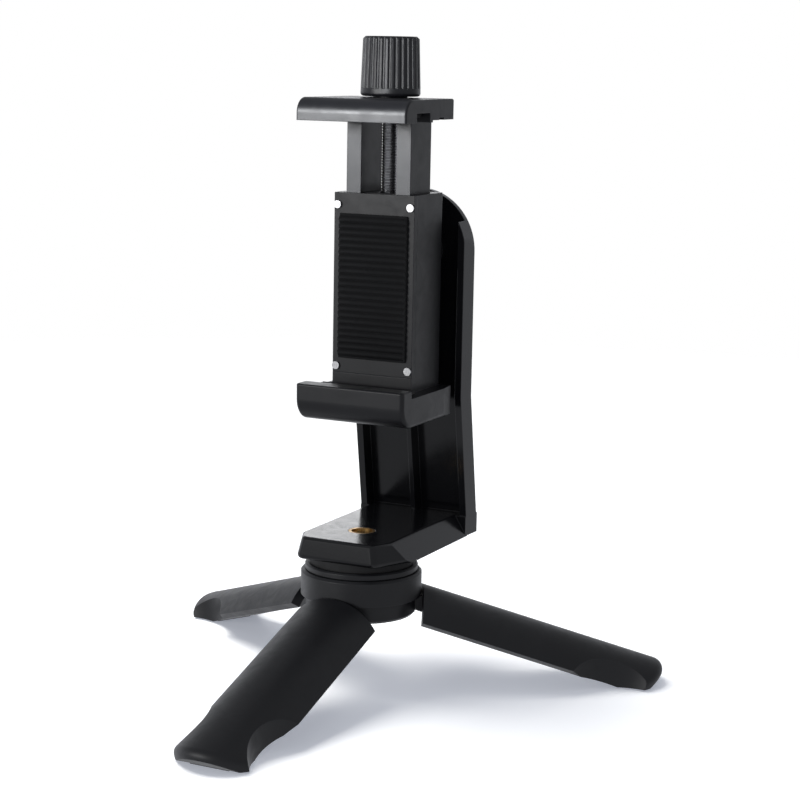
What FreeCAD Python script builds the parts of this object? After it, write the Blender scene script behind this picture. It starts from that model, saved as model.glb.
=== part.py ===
"""Phone clamp on a rotating L-bracket, carried by a mini tripod whose three legs fold into a handle.

Frame: millimetres, +Z up, floor at Z = 0, the phone's screen faces -Y. The origin is on the floor under the
middle of the bounding box. The tripod axis stands hub_axis_y behind it. Every outline below is drawn in the
tripod's own frame, whose Z axis is the tripod axis. Each sub-part's Placement brings it to the part's frame.
"""
import FreeCAD, Part
import math
import os

import Sketcher

OUT_FOLDER = "parts"
LEG_AZIMUTHS = (30.0, 150.0, 270.0)

DIMENSIONS = {
    # tripod hub
    "hub_axis_y": 19.45,
    "drum_radius": 17.9,
    "drum_bottom": 27.4,
    "drum_top": 35.0,
    "drum_edge": 0.7,
    "collar_radius": 16.4,
    "collar_bottom": 22.0,
    "collar_edge": 0.8,
    "hub_cavity_radius": 7.4,
    "hub_cavity_top": 29.0,
    "base_cap_radius": 7.35,
    "base_cap_height": 1.5,
    "stud_radius": 3.175,
    "running_gap": 0.055,
    "stud_bottom": 25.2,
    "stud_top": 44.9,
    "stud_nut_flat": 5.55,
    "stud_nut_bottom": 25.6,
    "stud_nut_top": 28.3,
    "stud_washer_radius": 7.0,
    "stud_washer_height": 0.6,
    "disc_radius": 16.7,
    "disc_bottom": 35.15,
    "disc_top": 37.0,
    "disc_edge": 0.5,
    "pad_radius": 15.4,
    # folding legs, in the leg's own frame: X along the leg, Z out through the crown, origin on the hinge pin
    "leg_slope": 18.0,
    "pin_offset": 11.5,
    "pin_height": 27.1,
    "pin_radius": 1.25,
    "pin_length": 18.0,
    "leg_outer_radius": 16.0,
    "leg_inner_radius": 12.8,
    "leg_half_angle": 59.3,
    "leg_blank_start": 2.0,
    "leg_blank_end": 85.0,
    "leg_hollow_end": 54.0,
    "leg_face_lean": 7.0,
    "leg_face_offset": 18.05,
    "toe_centre": 68.4,
    "toe_radius": 14.5,
    "toe_half": 14.0,
    "toe_round": 2.5,
    "nose_reach": 91.2,
    "nose_height": 3.7,
    "sole_start": 76.2,
    "sole_end": 86.0,
    "sole_height": 0.5,
    "scallop_radius": 17.5,
    "scallop_centre": 67.0,
    "scallop_side": 25.8,
    "knuckle_radius": 3.0,
    "knuckle_width": 9.0,
    "arm_length": 10.0,
    "arm_top": 2.0,
    "arm_bottom": 2.4,
    "slot_gap": 0.2,
    "slot_inner": 8.3,
    "foot_pad_start": 77.2,
    "foot_pad_end": 85.2,
    "foot_pad_height": 1.9,
    "foot_pad_width": 12.0,
    # bracket
    "foot_bottom": 39.5,
    "foot_top": 46.1,
    "foot_half_bottom": 18.4,
    "foot_half_top": 14.3,
    "foot_front_bottom": 16.8,
    "foot_front_top": 15.7,
    "foot_corner_x": 5.6,
    "foot_corner_y": 11.5,
    "foot_corner_margin": 1.0,
    "foot_corner_lean": 29.8,
    "foot_corner_round": 2.5,
    "foot_edge_round": 1.1,
    "foot_lower_round": 1.2,
    "upright_back": 41.75,
    "upright_front": 34.9,
    "knee_back": 35.2,
    "knee_height": 83.0,
    "upright_root": 41.5,
    "upright_half_back": 18.4,
    "upright_half_front": 18.1,
    "upright_wall": 2.1,
    "rib_half": 0.7,
    "pivot_height": 127.0,
    "boss_radius": 8.6,
    "insert_radius": 4.0,
    # roll pivot
    "bolt_radius": 2.5,
    "bolt_head_radius": 5.0,
    "bolt_head_height": 3.0,
    "bolt_front": 17.0,
    "head_pocket_radius": 5.4,
    "head_pocket_depth": 3.6,
    "pivot_nut_flat": 4.0,
    "pivot_nut_front": 17.2,
    "pivot_nut_back": 20.4,
    "pivot_washer_radius": 7.0,
    "pivot_gap": 0.05,
    # clamp body
    "jaw_half": 17.5,
    "jaw_bottom": 79.0,
    "jaw_floor": 87.7,
    "jaw_lip_top": 90.0,
    "jaw_front": 9.9,
    "lip_back": 4.3,
    "clip_back": 24.1,
    "jaw_round": 6.5,
    "jaw_corner": 1.2,
    "lip_round": 0.5,
    "jaw_relief_length": 6.5,
    "jaw_relief_depth": 1.0,
    "spine_half": 13.0,
    "spine_front": 4.6,
    "spine_top": 145.0,
    "cavity_half": 10.6,
    "cavity_back": 21.0,
    "cavity_bottom": 92.0,
    "cover_back": 6.6,
    "cover_screw_radius": 0.8,
    "cover_screw_head": 1.15,
    "cover_screw_rise": 0.6,
    "cover_screw_x": 11.8,
    "cover_screw_low": 94.0,
    "cover_screw_high": 141.5,
    "cover_screw_length": 9.0,
    "carrier_half": 5.2,
    "carrier_front": 8.6,
    "carrier_bottom": 134.0,
    "clamp_nut_half": 4.0,
    "clamp_nut_bottom": 138.0,
    "clamp_nut_top": 142.0,
    "pivot_block_half": 5.2,
    "pivot_block_front": 17.0,
    "pivot_block_reach": 6.5,
    "back_pad_front": 3.1,
    "back_pad_half": 11.0,
    "back_pad_bottom": 96.5,
    "back_pad_top": 139.0,
    "lower_pad_top": 89.2,
    "pad_half": 15.0,
    # upper jaw, clamp screw and knob
    "upper_front": 11.0,
    "upper_round": 4.4,
    "upper_back": 20.9,
    "upper_bottom": 166.0,
    "upper_roof": 168.7,
    "upper_heel": 166.6,
    "upper_heel_front": 6.2,
    "upper_notch_top": 167.3,
    "upper_notch_front": 10.5,
    "upper_notch_back": 13.5,
    "upper_top": 172.5,
    "upper_edge": 0.6,
    "upper_lip_back": 4.3,
    "upper_pad_bottom": 167.2,
    "upper_pad_back": 4.4,
    "guide_inner": 5.7,
    "guide_outer": 10.35,
    "guide_front": 6.9,
    "guide_back": 20.2,
    "guide_bottom": 114.0,
    "screw_axis_y": 13.85,
    "screw_radius": 2.5,
    "screw_bottom": 118.0,
    "screw_top": 187.5,
    "ring_radius": 4.4,
    "ring_bottom": 167.4,
    "ring_top": 168.5,
    "knob_washer_radius": 5.0,
    "knob_washer_gap": 0.05,
    "knob_bottom": 172.85,
    "knob_top": 190.0,
    "knob_radius_bottom": 8.75,
    "knob_radius_top": 8.2,
    "knob_edge": 0.7,
    "knob_foot_round": 1.0,
    "flute_count": 30,
    "flute_radius": 0.55,
    "flute_inset": 0.15,
    "flute_start": 175.15,
}

doc = FreeCAD.newDocument("phone_mount_tripod")
dims = doc.addObject("Spreadsheet::Sheet", "dims")
for row, (alias, number) in enumerate(DIMENSIONS.items(), start=1):
    dims.set(f"A{row}", alias)
    dims.set(f"B{row}", str(number))
    dims.setAlias(f"B{row}", alias)
doc.recompute()

SLOPE_COS = "cos(dims.leg_slope * 1 deg)"
SLOPE_SIN = "sin(dims.leg_slope * 1 deg)"
HALF_COS = "cos(dims.leg_half_angle * 1 deg)"
HALF_SIN = "sin(dims.leg_half_angle * 1 deg)"
FAR_BELOW = "60"


def value(expression):
    """Number that an expression over the sheet gives."""
    result = dims.evalExpression(str(expression))
    return float(getattr(result, "Value", result))


def new_body(label, centred=True):
    """Body named label, standing on the tripod axis."""
    body = doc.addObject("PartDesign::Body", label)
    body.Label = label
    if centred:
        body.setExpression("Placement.Base.y", "dims.hub_axis_y")
    return body


def add_sketch(body, name, plane, offset="0"):
    """Sketch on one of the body's own origin planes, moved along the plane's normal by offset."""
    sketch = body.newObject("Sketcher::SketchObject", name)
    support = next(item for item in body.Origin.OriginFeatures if item.Role == plane + "_Plane")
    sketch.AttachmentSupport = (support, [""])
    sketch.MapMode = "FlatFace"
    sketch.setExpression("AttachmentOffset.Base.z", str(offset))
    return sketch


def bind(sketch, constraint, expression):
    """Add a dimension constraint and bind it to an expression."""
    index = sketch.addConstraint(constraint)
    sketch.setExpression(f"Constraints[{index}]", str(expression))


def fix_point(sketch, geometry, position, across, up):
    """Hold one point of a sketch element at (across, up) from the sketch origin."""
    bind(sketch, Sketcher.Constraint("DistanceX", -1, 1, geometry, position, value(across)), across)
    bind(sketch, Sketcher.Constraint("DistanceY", -1, 1, geometry, position, value(up)), up)


def add_outline(sketch, corners):
    """Closed outline through corners.

    A corner is (across, up), reached by a straight side, or (across, up, centre_across, centre_up, turn),
    reached by an arc about that centre, where turn is +1 anticlockwise or -1 clockwise.
    """
    count = len(corners)
    ends = []
    for number in range(count):
        start = corners[number - 1]
        corner = corners[number]
        first = FreeCAD.Vector(value(start[0]), value(start[1]), 0)
        last = FreeCAD.Vector(value(corner[0]), value(corner[1]), 0)
        if len(corner) == 2:
            index = sketch.addGeometry(Part.LineSegment(first, last))
            ends.append((index, 1, 2))
            continue
        centre = FreeCAD.Vector(value(corner[2]), value(corner[3]), 0)
        radius = (last - centre).Length
        angles = [math.atan2(point.y - centre.y, point.x - centre.x) for point in (first, last)]
        if corner[4] < 0:
            angles.reverse()
        circle = Part.Circle(centre, FreeCAD.Vector(0, 0, 1), radius)
        index = sketch.addGeometry(Part.ArcOfCircle(circle, angles[0], angles[1]))
        ends.append((index, 1, 2) if corner[4] > 0 else (index, 2, 1))
    for number in range(count):
        index, start_position, end_position = ends[number]
        next_index, next_start, next_end = ends[(number + 1) % count]
        sketch.addConstraint(Sketcher.Constraint("Coincident", index, end_position, next_index, next_start))
        fix_point(sketch, index, end_position, corners[number][0], corners[number][1])
    for number in range(count):
        corner = corners[number]
        if len(corner) == 2:
            continue
        first = corners[number - 1]
        wide = abs(value(first[0]) - value(corner[0])) > abs(value(first[1]) - value(corner[1]))
        kind, expression = ("DistanceY", corner[3]) if wide else ("DistanceX", corner[2])
        index = ends[number][0]
        bind(sketch, Sketcher.Constraint(kind, -1, 1, index, 3, value(expression)), expression)


def add_box_outline(sketch, left, bottom, right, top):
    """Rectangle from its lower left to its upper right corner."""
    add_outline(sketch, [(left, bottom), (right, bottom), (right, top), (left, top)])


def add_circle(sketch, across, up, radius):
    """Circle of the given radius about (across, up)."""
    centre = FreeCAD.Vector(value(across), value(up), 0)
    index = sketch.addGeometry(Part.Circle(centre, FreeCAD.Vector(0, 0, 1), value(radius)))
    bind(sketch, Sketcher.Constraint("Radius", index, value(radius)), radius)
    fix_point(sketch, index, 3, across, up)


def add_hexagon(sketch, across, up, flat):
    """Hexagon with two level sides, flat from its centre to each side."""
    corner = f"({flat}) / cos(30 deg)"
    add_outline(sketch, [(f"({across}) + {corner} * cos({angle} deg)", f"({up}) + {corner} * sin({angle} deg)")
                         for angle in range(0, 360, 60)])


def check_feature(feature):
    """Stop when a feature has failed."""
    if "Invalid" in feature.State or "Error" in feature.State:
        raise RuntimeError(f"{feature.Name} is {feature.State}")


def finish_feature(body, feature, sketch):
    """Recompute a new feature and keep its sketch out of sight."""
    sketch.Visibility = False
    body.Tip = feature
    doc.recompute()
    check_feature(feature)
    return feature


def steer(feature, direction):
    """Let a pad or pocket run along a direction of its own."""
    if direction is not None:
        feature.UseCustomVector = True
        feature.Direction = direction


def pad(body, sketch, length, reverse=False, both=False, direction=None):
    """Pad a sketch along its plane's normal, or along a given direction."""
    feature = body.newObject("PartDesign::Pad", sketch.Name + "_pad")
    feature.Profile = sketch
    feature.setExpression("Length", str(length))
    feature.Reversed = reverse
    feature.Midplane = both
    steer(feature, direction)
    return finish_feature(body, feature, sketch)


def pocket(body, sketch, length=None, reverse=False, both=False, direction=None):
    """Cut a sketch against its plane's normal, through everything when no length is given."""
    before = body.Shape.Volume
    feature = body.newObject("PartDesign::Pocket", sketch.Name + "_cut")
    feature.Profile = sketch
    if length is None:
        feature.Type = "ThroughAll"
    else:
        feature.setExpression("Length", str(length))
    feature.Reversed = reverse
    feature.Midplane = both
    steer(feature, direction)
    finish_feature(body, feature, sketch)
    if body.Shape.Volume >= before - 1e-3:
        raise RuntimeError(f"{sketch.Name} cuts nothing")
    return feature


def dress(body, kind, size, test):
    """Fillet or chamfer every edge of the tip for which test(edge) holds."""
    base = body.Tip
    names = [f"Edge{number}" for number, edge in enumerate(base.Shape.Edges, start=1) if test(edge)]
    if not names:
        raise RuntimeError(f"{body.Label}: no edge to dress")
    feature = body.newObject("PartDesign::" + kind, f"{body.Label}_{kind.lower()}")
    feature.Base = (base, names)
    feature.setExpression("Radius" if kind == "Fillet" else "Size", str(size))
    body.Tip = feature
    doc.recompute()
    check_feature(feature)
    return feature


def near(first, second, slack=0.02):
    """True when two lengths agree."""
    return abs(first - second) < slack


def is_ring_at(edge, height, radius):
    """True for a level circle or arc about Z at this height, with this radius."""
    curve = edge.Curve
    return isinstance(curve, Part.Circle) and near(curve.Radius, radius) and near(curve.Center.z, height)


def straight_along(edge, axis):
    """True for a straight edge along the named axis."""
    if not isinstance(edge.Curve, Part.Line):
        return False
    return near(abs(getattr(edge.Curve.Direction, axis)), 1, 1e-4)


def round_body(label, profile, bore=None, bottom="0", height="0"):
    """Ring or disc about the tripod axis: an outer radius, a bore and two levels."""
    body = new_body(label)
    sketch = add_sketch(body, label + "_plan", "XY", bottom)
    add_circle(sketch, "0", "0", profile)
    if bore is not None:
        add_circle(sketch, "0", "0", bore)
    pad(body, sketch, height)
    return body


def make_hub_drum():
    """Drum over a smaller collar, with a cavity for the stud nut and three slots for the leg knuckles."""
    body = new_body("hub_drum")
    drum = add_sketch(body, "hub_drum_plan", "XY", "dims.drum_bottom")
    add_circle(drum, "0", "0", "dims.drum_radius")
    pad(body, drum, "dims.drum_top - dims.drum_bottom")
    dress(body, "Chamfer", "dims.drum_edge", lambda edge: is_ring_at(edge, value("dims.drum_top"),
                                                                    value("dims.drum_radius")))
    collar = add_sketch(body, "hub_collar_plan", "XY", "dims.collar_bottom")
    add_circle(collar, "0", "0", "dims.collar_radius")
    pad(body, collar, "dims.drum_bottom - dims.collar_bottom")
    dress(body, "Chamfer", "dims.collar_edge", lambda edge: is_ring_at(edge, value("dims.collar_bottom"),
                                                                      value("dims.collar_radius")))
    bore = add_sketch(body, "hub_bore_plan", "XY", "dims.drum_top")
    add_circle(bore, "0", "0", "dims.stud_radius + dims.running_gap")
    pocket(body, bore)
    cavity = add_sketch(body, "hub_cavity_plan", "XY", "dims.hub_cavity_top")
    add_circle(cavity, "0", "0", "dims.hub_cavity_radius")
    pocket(body, cavity)
    slot_half = "(dims.knuckle_width / 2 + dims.slot_gap)"
    for number, azimuth in enumerate(LEG_AZIMUTHS, start=1):
        slot = add_sketch(body, f"hub_slot_{number}", "XZ")
        slot.AttachmentOffset = FreeCAD.Placement(FreeCAD.Vector(), FreeCAD.Rotation(
            FreeCAD.Vector(0, 1, 0), azimuth))
        add_outline(slot, [
            ("dims.slot_inner", "dims.collar_bottom - 1"),
            ("dims.drum_radius + 1", "dims.collar_bottom - 1"),
            ("dims.drum_radius + 1", "dims.drum_bottom + dims.slot_gap"),
            ("dims.drum_radius", "dims.drum_bottom + dims.slot_gap"),
            ("dims.pin_offset", "dims.pin_height + dims.arm_top + dims.slot_gap"),
            ("dims.slot_inner", "dims.pin_height"),
        ])
        pocket(body, slot, f"2 * {slot_half}", both=True)
        relief = add_sketch(body, f"hub_relief_{number}", "XZ")
        relief.AttachmentOffset = slot.AttachmentOffset
        add_circle(relief, "dims.pin_offset", "dims.pin_height", "dims.knuckle_radius + dims.slot_gap")
        pocket(body, relief, f"2 * {slot_half}", both=True)
        hinge = add_sketch(body, f"hub_hinge_{number}", "XZ")
        hinge.AttachmentOffset = slot.AttachmentOffset
        add_circle(hinge, "dims.pin_offset", "dims.pin_height", "dims.pin_radius")
        pocket(body, hinge, "dims.pin_length", both=True)
    return body


def make_swivel_disc():
    """Thin disc that turns on the drum."""
    body = round_body("swivel_disc", "dims.disc_radius", "dims.stud_radius", "dims.disc_bottom",
                      "dims.disc_top - dims.disc_bottom")
    dress(body, "Chamfer", "dims.disc_edge", lambda edge: is_ring_at(edge, value("dims.disc_top"),
                                                                    value("dims.disc_radius")))
    return body


def make_stud():
    """Quarter inch stud with a chamfered tip."""
    body = round_body("tripod_stud", "dims.stud_radius", None, "dims.stud_bottom",
                      "dims.stud_top - dims.stud_bottom")
    dress(body, "Chamfer", "0.6", lambda edge: isinstance(edge.Curve, Part.Circle))
    return body


def make_stud_nut():
    """Hexagon nut under the hub's ceiling."""
    body = new_body("stud_nut")
    plan = add_sketch(body, "stud_nut_plan", "XY", "dims.stud_nut_bottom")
    add_hexagon(plan, "0", "0", "dims.stud_nut_flat")
    add_circle(plan, "0", "0", "dims.stud_radius")
    pad(body, plan, "dims.stud_nut_top - dims.stud_nut_bottom")
    return body


def leg_point(reach, height):
    """Leg frame coordinates of a point given, for the open leg, by its reach from the axis and its height."""
    across = f"(({reach}) - dims.pin_offset)"
    up = f"(({height}) - dims.pin_height)"
    return (f"{across} * {SLOPE_COS} - {up} * {SLOPE_SIN}", f"{across} * {SLOPE_SIN} + {up} * {SLOPE_COS}")


def leg_side_sketch(body, name):
    """Sketch in the leg's plane of symmetry, X along the leg and Z up through the crown."""
    return add_sketch(body, name, "XZ")


def place_leg_piece(body, azimuth):
    """Put a piece drawn in the leg's own frame on its open leg at this azimuth."""
    turn = FreeCAD.Rotation(FreeCAD.Vector(0, 0, 1), azimuth)
    lean = FreeCAD.Rotation(FreeCAD.Vector(0, 1, 0), value("dims.leg_slope"))
    pin = turn.multVec(FreeCAD.Vector(value("dims.pin_offset"), 0, value("dims.pin_height")))
    axis = FreeCAD.Vector(0, value("dims.hub_axis_y"), 0)
    body.Placement = FreeCAD.Placement(pin + axis, turn.multiply(lean))


def is_toe_crown(edge):
    """True for the curved edges between the crown of a leg and its round toe."""
    box = edge.BoundBox
    return box.XMin > value("dims.toe_centre") and box.ZMin > -value("dims.pin_offset") / 2


def make_leg(number, azimuth):
    """Shell leg: arc section, hollow below, solid rounded toe, knuckle and arm at the hub."""
    label = f"leg_{number}"
    body = new_body(label, centred=False)
    section = add_sketch(body, label + "_section", "YZ", "dims.leg_blank_start")
    edge_across = f"dims.leg_outer_radius * {HALF_SIN}"
    edge_up = f"dims.leg_outer_radius * {HALF_COS} - dims.pin_offset"
    inner_edge_up = f"dims.leg_inner_radius * {HALF_COS} - dims.pin_offset"
    add_outline(section, [
        ("0", "-dims.pin_offset"),
        (edge_across, edge_up),
        (f"-{edge_across}", edge_up, "0", "-dims.pin_offset", 1),
    ])
    pad(body, section, "dims.leg_blank_end - dims.leg_blank_start")
    toe = add_sketch(body, label + "_toe", "XY")
    toe_side = "dims.toe_centre + sqrt(dims.toe_radius ^ 2 - dims.toe_half ^ 2)"
    add_outline(toe, [
        (toe_side, "-dims.toe_half"),
        (toe_side, "dims.toe_half", "dims.toe_centre", "0", 1),
        ("dims.leg_blank_end + 1", "dims.toe_half"),
        ("dims.leg_blank_end + 1", "-dims.toe_half"),
    ])
    pocket(body, toe, both=True)
    dress(body, "Fillet", "dims.toe_round", is_toe_crown)
    hollow = add_sketch(body, label + "_hollow", "YZ", "0")
    add_circle(hollow, "0", "-dims.pin_offset", "dims.leg_inner_radius")
    pocket(body, hollow, "dims.leg_hollow_end", reverse=True)
    ramp = leg_side_sketch(body, label + "_ramp")
    add_outline(ramp, [
        ("dims.leg_hollow_end - 0.5", inner_edge_up),
        ("dims.leg_hollow_end - 0.5", f"-{FAR_BELOW}"),
        (leg_point("dims.sole_start", "dims.sole_height")[0], f"-{FAR_BELOW}"),
        leg_point("dims.sole_start", "dims.sole_height"),
    ])
    pocket(body, ramp, both=True)
    sole = leg_side_sketch(body, label + "_sole")
    add_outline(sole, [
        leg_point("dims.sole_start - 4", "dims.sole_height"),
        leg_point("dims.sole_start - 4", f"-{FAR_BELOW}"),
        leg_point("dims.sole_start + 40", f"-{FAR_BELOW}"),
        leg_point("dims.sole_start + 40", "dims.sole_height"),
    ])
    pocket(body, sole, both=True)
    tip = leg_side_sketch(body, label + "_tip")
    add_outline(tip, [
        leg_point("dims.sole_end", "dims.sole_height"),
        leg_point("dims.sole_end", "-20"),
        leg_point("dims.nose_reach + 10", "-20"),
        leg_point("dims.nose_reach + 10", "dims.nose_height"),
        leg_point("dims.nose_reach", "dims.nose_height"),
    ])
    pocket(body, tip, both=True)
    face = leg_side_sketch(body, label + "_face")
    lean = "tan(dims.leg_face_lean * 1 deg)"
    add_outline(face, [
        leg_point(f"dims.leg_face_offset + 20 * {lean}", "dims.drum_bottom + 20"),
        leg_point("0", "dims.drum_bottom + 20"),
        leg_point("0", "dims.drum_bottom - 20"),
        leg_point(f"dims.leg_face_offset - 20 * {lean}", "dims.drum_bottom - 20"),
    ])
    pocket(body, face, both=True)
    scallops = add_sketch(body, label + "_scallops", "XY")
    for side in ("", "-"):
        add_circle(scallops, "dims.scallop_centre", f"{side}dims.scallop_side", "dims.scallop_radius")
    pocket(body, scallops, both=True)
    recess = leg_side_sketch(body, label + "_recess")
    add_outline(recess, [
        leg_point("dims.foot_pad_start", "-1"),
        leg_point("dims.foot_pad_end", "-1"),
        leg_point("dims.foot_pad_end", "dims.foot_pad_height"),
        leg_point("dims.foot_pad_start", "dims.foot_pad_height"),
    ])
    pocket(body, recess, "dims.foot_pad_width", both=True)
    arm = leg_side_sketch(body, label + "_arm")
    add_box_outline(arm, "0", "-dims.arm_bottom", "dims.arm_length", "dims.arm_top")
    pad(body, arm, "dims.knuckle_width", both=True)
    knuckle = leg_side_sketch(body, label + "_knuckle")
    add_circle(knuckle, "0", "0", "dims.knuckle_radius")
    pad(body, knuckle, "dims.knuckle_width", both=True)
    hinge = leg_side_sketch(body, label + "_hinge")
    add_circle(hinge, "0", "0", "dims.pin_radius + dims.pivot_gap")
    pocket(body, hinge, both=True)
    place_leg_piece(body, azimuth)
    return body


def make_leg_pin(number, azimuth):
    """Steel hinge pin across the hub slot."""
    label = f"leg_pin_{number}"
    body = new_body(label, centred=False)
    end = leg_side_sketch(body, label + "_end")
    add_circle(end, "0", "0", "dims.pin_radius")
    pad(body, end, "dims.pin_length", both=True)
    place_leg_piece(body, azimuth)
    return body


def make_leg_foot(number, azimuth):
    """Rubber sole, level with the floor when its leg is open."""
    label = f"leg_foot_{number}"
    body = new_body(label, centred=False)
    side = leg_side_sketch(body, label + "_side")
    add_outline(side, [
        leg_point("dims.foot_pad_start", "0"),
        leg_point("dims.foot_pad_end", "0"),
        leg_point("dims.foot_pad_end", "dims.foot_pad_height"),
        leg_point("dims.foot_pad_start", "dims.foot_pad_height"),
    ])
    pad(body, side, "dims.foot_pad_width", both=True)
    place_leg_piece(body, azimuth)
    return body


def upright_section(sketch, shift):
    """Section of the upright: back panel, two side walls and a middle rib, with channels open to the front."""
    back = f"(dims.upright_back - {shift})"
    front = f"(dims.upright_front - {shift})"
    floor = f"({back} - dims.upright_wall)"
    inner_front = "(dims.upright_half_front - dims.upright_wall)"
    inner_back = "(dims.upright_half_back - dims.upright_wall - 0.4)"
    right = [
        ("dims.upright_half_back", back),
        ("dims.upright_half_front", front),
        (inner_front, front),
        (inner_back, floor),
        ("dims.rib_half", floor),
        ("dims.rib_half", front),
    ]
    left = [(f"-{across}", up) for across, up in reversed(right)]
    add_outline(sketch, right + left)


def is_foot_front_corner(edge):
    """True for the two steep edges beside the front face of the bracket's foot."""
    box = edge.BoundBox
    return box.ZLength > 5 and box.YMax < -value("dims.foot_front_top") + 0.1


def is_foot_rim(edge):
    """True for an edge round the top of the bracket's foot, in front of the upright."""
    box = edge.BoundBox
    return near(box.ZMin, value("dims.foot_top")) and box.YMin < value("dims.upright_front") - 1


def is_foot_lower_front(edge):
    """True for the edges round the bottom of the foot's front face and of the two cut corners beside it."""
    box = edge.BoundBox
    corner_end = value("dims.foot_corner_y - dims.foot_front_bottom")
    return near(box.ZMax, value("dims.foot_bottom")) and box.YMax < corner_end + 0.1


def make_bracket():
    """L-bracket in one moulding: slab foot with sloping sides, upright that leans and then stands plumb."""
    body = new_body("bracket")
    slab = add_sketch(body, "foot_section", "XZ", "-dims.upright_front")
    add_outline(slab, [
        ("-dims.foot_half_bottom", "dims.foot_bottom"),
        ("dims.foot_half_bottom", "dims.foot_bottom"),
        ("dims.foot_half_top", "dims.foot_top"),
        ("-dims.foot_half_top", "dims.foot_top"),
    ])
    pad(body, slab, "dims.upright_front + dims.foot_front_bottom")
    heel = add_sketch(body, "heel_plan", "XY", "dims.foot_bottom")
    add_outline(heel, [
        ("-dims.upright_half_front", "dims.upright_front - 1"),
        ("dims.upright_half_front", "dims.upright_front - 1"),
        ("dims.upright_half_front", "dims.upright_front"),
        ("dims.upright_half_back", "dims.upright_back"),
        ("-dims.upright_half_back", "dims.upright_back"),
        ("-dims.upright_half_front", "dims.upright_front"),
    ])
    pad(body, heel, "dims.foot_top - dims.foot_bottom - 0.5")
    front = add_sketch(body, "foot_front_side", "YZ")
    add_outline(front, [
        ("-dims.foot_front_bottom", "dims.foot_bottom"),
        ("-dims.foot_front_top", "dims.foot_top"),
        ("-dims.foot_front_top", "dims.foot_top + 1"),
        ("-dims.foot_front_bottom - 1", "dims.foot_top + 1"),
        ("-dims.foot_front_bottom - 1", "dims.foot_bottom"),
    ])
    pocket(body, front, both=True)
    corner = add_sketch(body, "foot_corner", "XY", "dims.foot_bottom")
    margin = "dims.foot_corner_margin"
    margin_y = "(dims.foot_corner_margin * dims.foot_corner_y / dims.foot_corner_x)"
    for side in ("", "-"):
        add_outline(corner, [
            (f"{side}(dims.foot_half_bottom - dims.foot_corner_x - {margin})",
             f"-dims.foot_front_bottom - {margin_y}"),
            (f"{side}(dims.foot_half_bottom + {margin})", f"-dims.foot_front_bottom - {margin_y}"),
            (f"{side}(dims.foot_half_bottom + {margin})",
             f"-dims.foot_front_bottom + dims.foot_corner_y + {margin_y}"),
        ])
    slant = math.tan(math.radians(value("dims.foot_corner_lean")))
    pocket(body, corner, "dims.foot_top - dims.foot_bottom + 1", direction=FreeCAD.Vector(0, slant, 1))
    dress(body, "Fillet", "dims.foot_corner_round", is_foot_front_corner)
    dress(body, "Fillet", "dims.foot_edge_round", is_foot_rim)
    dress(body, "Fillet", "dims.foot_lower_round", is_foot_lower_front)
    root = add_sketch(body, "upright_root_section", "XY", "dims.upright_root")
    upright_section(root, "0")
    lean = FreeCAD.Vector(0, value("dims.knee_back - dims.upright_back"),
                          value("dims.knee_height - dims.upright_root"))
    pad(body, root, "dims.knee_height - dims.upright_root", direction=lean)
    plumb = add_sketch(body, "upright_plumb_section", "XY", "dims.knee_height")
    upright_section(plumb, "(dims.upright_back - dims.knee_back)")
    pad(body, plumb, "dims.pivot_height - dims.knee_height + dims.upright_half_back")
    crown = add_sketch(body, "upright_crown", "XZ")
    add_outline(crown, [
        ("dims.upright_half_back", "dims.pivot_height", "0", "dims.pivot_height", -1),
        ("dims.upright_half_back + 1", "dims.pivot_height"),
        ("dims.upright_half_back + 1", "dims.pivot_height + dims.upright_half_back + 1"),
        ("-dims.upright_half_back - 1", "dims.pivot_height + dims.upright_half_back + 1"),
        ("-dims.upright_half_back - 1", "dims.pivot_height"),
        ("-dims.upright_half_back", "dims.pivot_height"),
    ])
    pocket(body, crown, both=True)
    boss = add_sketch(body, "pivot_boss", "XZ", "-dims.knee_back + 0.5")
    add_circle(boss, "0", "dims.pivot_height", "dims.boss_radius")
    pad(body, boss, "dims.upright_back - dims.upright_front - 0.5")
    bore = add_sketch(body, "pivot_bore", "XZ")
    add_circle(bore, "0", "dims.pivot_height", "dims.bolt_radius + dims.running_gap")
    pocket(body, bore, both=True)
    head = add_sketch(body, "pivot_head_pocket", "XZ", "-dims.knee_back")
    add_circle(head, "0", "dims.pivot_height", "dims.head_pocket_radius")
    pocket(body, head, "dims.head_pocket_depth", reverse=True)
    seat = add_sketch(body, "insert_seat", "XY", "dims.foot_top")
    add_circle(seat, "0", "0", "dims.insert_radius")
    pocket(body, seat)
    return body


def make_insert():
    """Brass thread insert, flush with both faces of the foot."""
    return round_body("brass_insert", "dims.insert_radius", "dims.stud_radius", "dims.foot_bottom",
                      "dims.foot_top - dims.foot_bottom")


def make_pivot_bolt():
    """Roll pivot bolt, its head sunk in the back of the upright."""
    body = new_body("pivot_bolt")
    seat = "(dims.knee_back - dims.head_pocket_depth + dims.pivot_gap)"
    shank = add_sketch(body, "pivot_shank", "XZ", "-dims.bolt_front")
    add_circle(shank, "0", "dims.pivot_height", "dims.bolt_radius")
    pad(body, shank, f"{seat} - dims.bolt_front", reverse=True)
    head = add_sketch(body, "pivot_head", "XZ", f"-{seat}")
    add_circle(head, "0", "dims.pivot_height", "dims.bolt_head_radius")
    pad(body, head, "dims.bolt_head_height", reverse=True)
    socket = add_sketch(body, "pivot_socket", "XZ", f"-{seat} - dims.bolt_head_height")
    add_hexagon(socket, "0", "dims.pivot_height", "1.5")
    pocket(body, socket, "1.6", reverse=True)
    return body


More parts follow.
